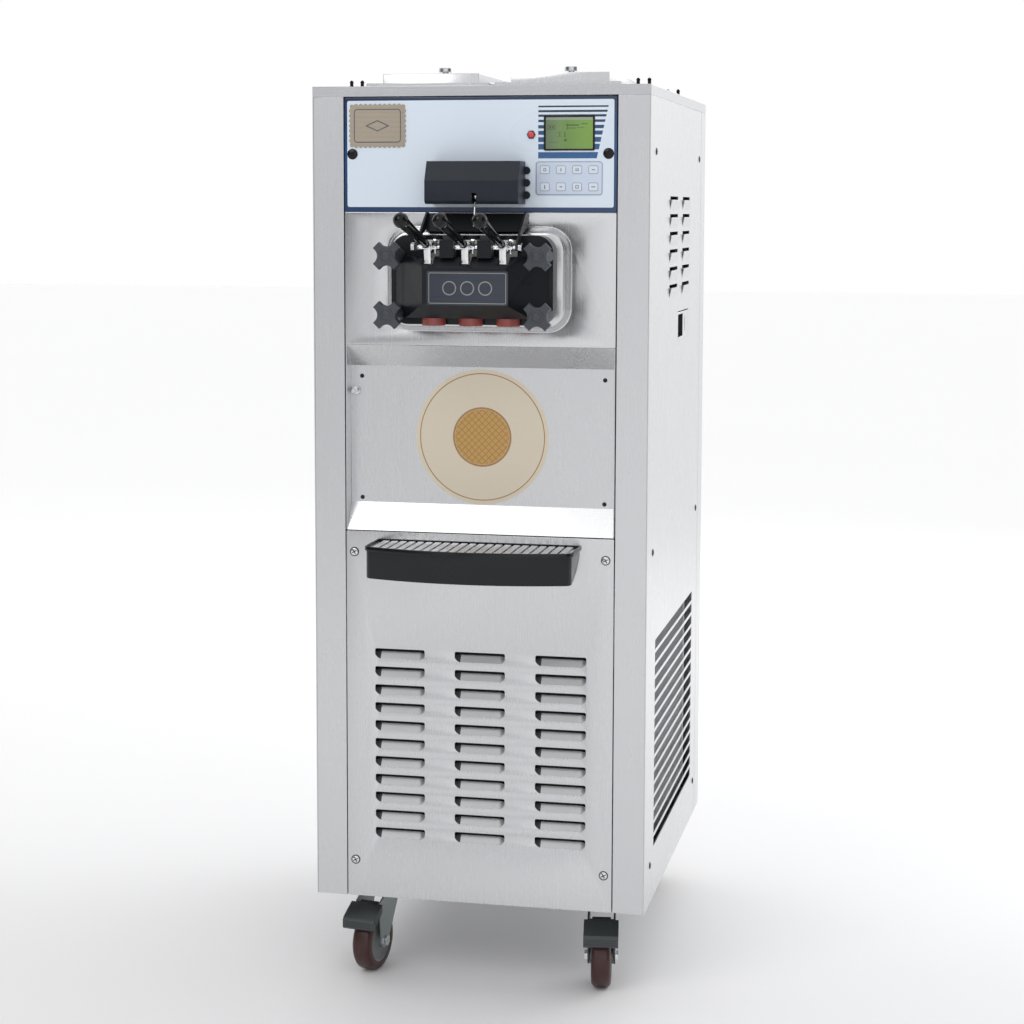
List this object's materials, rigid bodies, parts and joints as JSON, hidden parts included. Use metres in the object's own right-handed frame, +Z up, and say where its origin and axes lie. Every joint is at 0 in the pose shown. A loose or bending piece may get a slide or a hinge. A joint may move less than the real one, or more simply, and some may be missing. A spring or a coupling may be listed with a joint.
{
  "type": "soft serve ice cream maker",
  "caption": "Floor-standing soft-serve ice cream maker: steel cabinet on casters, dispensing head with draw handles, control fascia, drip tray and lidded hoppers.",
  "frame": {"origin": "on the floor under the middle of the overall outline, wheels standing on z = 0", "axes": "+X to the viewer's right, the front with the draw handles faces -Y, +Z up"},
  "size_m": [0.547, 0.9634, 1.4891],
  "materials": {
    "black_acetal": "satin",
    "black_grip": "gloss",
    "black_paint": "satin",
    "black_plastic": "satin",
    "black_rubber": "matt",
    "bright_steel": "polished",
    "burgundy_tyre": "satin",
    "copper_tube": "satin",
    "dark_fork": "satin",
    "dark_grey_plastic": "matt",
    "dark_sheet": "satin",
    "display_green": "gloss",
    "fascia_face": "satin",
    "fin_aluminium": "matt",
    "gloss_black_plastic": "gloss",
    "grey_cast": "matt",
    "grey_paint": "satin",
    "keypad_film": "satin",
    "lamp_red": "gloss",
    "orange_plastic": "satin",
    "slate_plastic": "satin",
    "stainless": "satin",
    "stainless_light": "satin",
    "white_acetal": "satin",
    "white_steel": "satin",
    "zinc_steel": "satin"
  },
  "bodies": {
    "cabinet": {"base_pan": "stainless", "corner_posts": "stainless_light", "side_panel_left": "white_steel", "side_panel_right": "white_steel", "rear_panel": "white_steel", "top_cover": "stainless", "front_upper_panel": "stainless", "control_fascia": "fascia_face", "display_window": "display_green", "membrane_keypad": "keypad_film", "indicator_lamp": "lamp_red", "switch_box": "dark_grey_plastic", "dispensing_head": "black_acetal", "door_studs": "bright_steel", "handle_rod": "bright_steel", "nozzle_caps": "orange_plastic", "splash_panel": "white_steel", "lower_front_panel": "white_steel", "panel_screws": "bright_steel", "top_pegs": "black_rubber", "freezing_barrels": "stainless", "mix_hoppers": "stainless", "beater_gearmotors": "grey_cast", "compressor": "black_paint", "condenser": "fin_aluminium", "fan_shroud": "dark_grey_plastic", "electrical_box": "grey_paint", "refrigerant_lines": "copper_tube", "cable_gland": "black_plastic", "caster_plates": "zinc_steel"},
    "handle_left": {"draw_handle_left": "black_grip"},
    "handle_centre": {"draw_handle_centre": "black_grip"},
    "handle_right": {"draw_handle_right": "black_grip"},
    "plunger_left": {"plunger_left": "white_acetal"},
    "plunger_centre": {"plunger_centre": "white_acetal"},
    "plunger_right": {"plunger_right": "white_acetal"},
    "draw_plate": {"draw_plate": "dark_sheet"},
    "actuator_rod": {"actuator_rod": "bright_steel"},
    "star_knob_upper_left": {"star_knob_upper_left": "slate_plastic"},
    "star_knob_upper_right": {"star_knob_upper_right": "slate_plastic"},
    "star_knob_lower_left": {"star_knob_lower_left": "slate_plastic"},
    "star_knob_lower_right": {"star_knob_lower_right": "slate_plastic"},
    "lid_left": {"hopper_lid_left": "stainless_light"},
    "lid_right": {"hopper_lid_right": "stainless_light"},
    "beater_left": {"beater_left": "white_acetal"},
    "beater_right": {"beater_right": "white_acetal"},
    "fan": {"fan_blade": "fin_aluminium"},
    "tray": {"drip_tray": "gloss_black_plastic"},
    "grid": {"drip_grid": "stainless"},
    "leak_drawer": {"leak_drawer": "stainless"},
    "fork_front_left": {"caster_fork_front_left": "dark_fork"},
    "wheel_front_left": {"caster_wheel_front_left": "burgundy_tyre"},
    "pedal_left": {"brake_pedal_left": "black_plastic"},
    "fork_front_right": {"caster_fork_front_right": "dark_fork"},
    "wheel_front_right": {"caster_wheel_front_right": "burgundy_tyre"},
    "pedal_right": {"brake_pedal_right": "black_plastic"},
    "fork_rear_left": {"caster_fork_rear_left": "dark_fork"},
    "wheel_rear_left": {"caster_wheel_rear_left": "burgundy_tyre"},
    "fork_rear_right": {"caster_fork_rear_right": "dark_fork"},
    "wheel_rear_right": {"caster_wheel_rear_right": "burgundy_tyre"}
  },
  "joints": [
    {"name": "handle_left_pull", "type": "hinge", "parent": "cabinet", "child": "handle_left", "pos_m": [-0.059, -0.30232, 1.1985], "axis": [1, 0, 0], "range_deg": [0, 42]},
    {"name": "handle_centre_pull", "type": "hinge", "parent": "cabinet", "child": "handle_centre", "pos_m": [0, -0.30232, 1.1985], "axis": [1, 0, 0], "range_deg": [0, 42]},
    {"name": "handle_right_pull", "type": "hinge", "parent": "cabinet", "child": "handle_right", "pos_m": [0.059, -0.30232, 1.1985], "axis": [1, 0, 0], "range_deg": [0, 42]},
    {"name": "plunger_left_lift", "type": "slide", "parent": "cabinet", "child": "plunger_left", "axis": [0, 0, 1], "range_m": [0, 0.0162]},
    {"name": "plunger_centre_lift", "type": "slide", "parent": "cabinet", "child": "plunger_centre", "axis": [0, 0, 1], "range_m": [0, 0.0162]},
    {"name": "plunger_right_lift", "type": "slide", "parent": "cabinet", "child": "plunger_right", "axis": [0, 0, 1], "range_m": [0, 0.0162]},
    {"name": "draw_plate_rock", "type": "hinge", "parent": "cabinet", "child": "draw_plate", "pos_m": [0, -0.30232, 1.1985], "axis": [1, 0, 0], "range_deg": [0, 8.5]},
    {"name": "actuator_rod_swing", "type": "hinge", "parent": "cabinet", "child": "actuator_rod", "pos_m": [0.0035, -0.25832, 1.2765], "axis": [1, 0, 0], "range_deg": [-12, 0]},
    {"name": "star_knob_upper_left_turn", "type": "hinge", "parent": "cabinet", "child": "star_knob_upper_left", "pos_m": [-0.117, -0.34232, 1.1855], "axis": [0, 1, 0], "continuous": true},
    {"name": "star_knob_upper_right_turn", "type": "hinge", "parent": "cabinet", "child": "star_knob_upper_right", "pos_m": [0.117, -0.34232, 1.1855], "axis": [0, 1, 0], "continuous": true},
    {"name": "star_knob_lower_left_turn", "type": "hinge", "parent": "cabinet", "child": "star_knob_lower_left", "pos_m": [-0.117, -0.34232, 1.0955], "axis": [0, 1, 0], "continuous": true},
    {"name": "star_knob_lower_right_turn", "type": "hinge", "parent": "cabinet", "child": "star_knob_lower_right", "pos_m": [0.117, -0.34232, 1.0955], "axis": [0, 1, 0], "continuous": true},
    {"name": "lid_left_lift", "type": "slide", "parent": "cabinet", "child": "lid_left", "axis": [0, 0, 1], "range_m": [0, 0.15]},
    {"name": "lid_right_lift", "type": "slide", "parent": "cabinet", "child": "lid_right", "axis": [0, 0, 1], "range_m": [0, 0.15]},
    {"name": "beater_left_spin", "type": "hinge", "parent": "cabinet", "child": "beater_left", "pos_m": [-0.062, -0.06832, 1.1455], "axis": [0, 1, 0], "continuous": true},
    {"name": "beater_right_spin", "type": "hinge", "parent": "cabinet", "child": "beater_right", "pos_m": [0.062, -0.06832, 1.1455], "axis": [0, 1, 0], "continuous": true},
    {"name": "fan_spin", "type": "hinge", "parent": "cabinet", "child": "fan", "pos_m": [0.183, 0.10818, 0.3306], "axis": [1, 0, 0], "continuous": true},
    {"name": "tray_slide", "type": "slide", "parent": "cabinet", "child": "tray", "axis": [0, -1, 0], "range_m": [0, 0.15]},
    {"name": "grid_lift", "type": "slide", "parent": "tray", "child": "grid", "axis": [0, 0, 1], "range_m": [0, 0.06]},
    {"name": "leak_drawer_slide", "type": "slide", "parent": "cabinet", "child": "leak_drawer", "axis": [1, 0, 0], "range_m": [0, 0.2]},
    {"name": "fork_front_left_swivel", "type": "hinge", "parent": "cabinet", "child": "fork_front_left", "pos_m": [-0.188, -0.12832, 0.122], "axis": [0, 0, 1], "continuous": true},
    {"name": "wheel_front_left_roll", "type": "hinge", "parent": "fork_front_left", "child": "wheel_front_left", "pos_m": [-0.19321, -0.15786, 0.05], "axis": [0.9848, -0.1736, 0], "continuous": true},
    {"name": "pedal_left_press", "type": "hinge", "parent": "fork_front_left", "child": "pedal_left", "pos_m": [-0.19529, -0.16968, 0.112], "axis": [0.9848, -0.1736, 0], "range_deg": [0, 8]},
    {"name": "fork_front_right_swivel", "type": "hinge", "parent": "cabinet", "child": "fork_front_right", "pos_m": [0.188, -0.12832, 0.122], "axis": [0, 0, 1], "continuous": true},
    {"name": "wheel_front_right_roll", "type": "hinge", "parent": "fork_front_right", "child": "wheel_front_right", "pos_m": [0.19218, -0.15803, 0.05], "axis": [0.9903, 0.1392, 0], "continuous": true},
    {"name": "pedal_right_press", "type": "hinge", "parent": "fork_front_right", "child": "pedal_right", "pos_m": [0.19384, -0.16991, 0.112], "axis": [0.9903, 0.1392, 0], "range_deg": [0, 8]},
    {"name": "fork_rear_left_swivel", "type": "hinge", "parent": "cabinet", "child": "fork_rear_left", "pos_m": [-0.188, 0.37168, 0.122], "axis": [0, 0, 1], "continuous": true},
    {"name": "wheel_rear_left_roll", "type": "hinge", "parent": "fork_rear_left", "child": "wheel_rear_left", "pos_m": [-0.188, 0.40168, 0.05], "axis": [-1, 0, 0], "continuous": true},
    {"name": "fork_rear_right_swivel", "type": "hinge", "parent": "cabinet", "child": "fork_rear_right", "pos_m": [0.188, 0.37168, 0.122], "axis": [0, 0, 1], "continuous": true},
    {"name": "wheel_rear_right_roll", "type": "hinge", "parent": "fork_rear_right", "child": "wheel_rear_right", "pos_m": [0.188, 0.40168, 0.05], "axis": [-1, 0, 0], "continuous": true}
  ],
  "couplings": [
    {"joint": "plunger_left_lift", "follows": "handle_left_pull", "m_per_rad": 0.0219},
    {"joint": "plunger_centre_lift", "follows": "handle_centre_pull", "m_per_rad": 0.0219},
    {"joint": "plunger_right_lift", "follows": "handle_right_pull", "m_per_rad": 0.0219},
    {"joint": "draw_plate_rock", "follows": "handle_centre_pull", "ratio": 0.2},
    {"joint": "actuator_rod_swing", "follows": "handle_centre_pull", "ratio": -0.28}
  ]
}
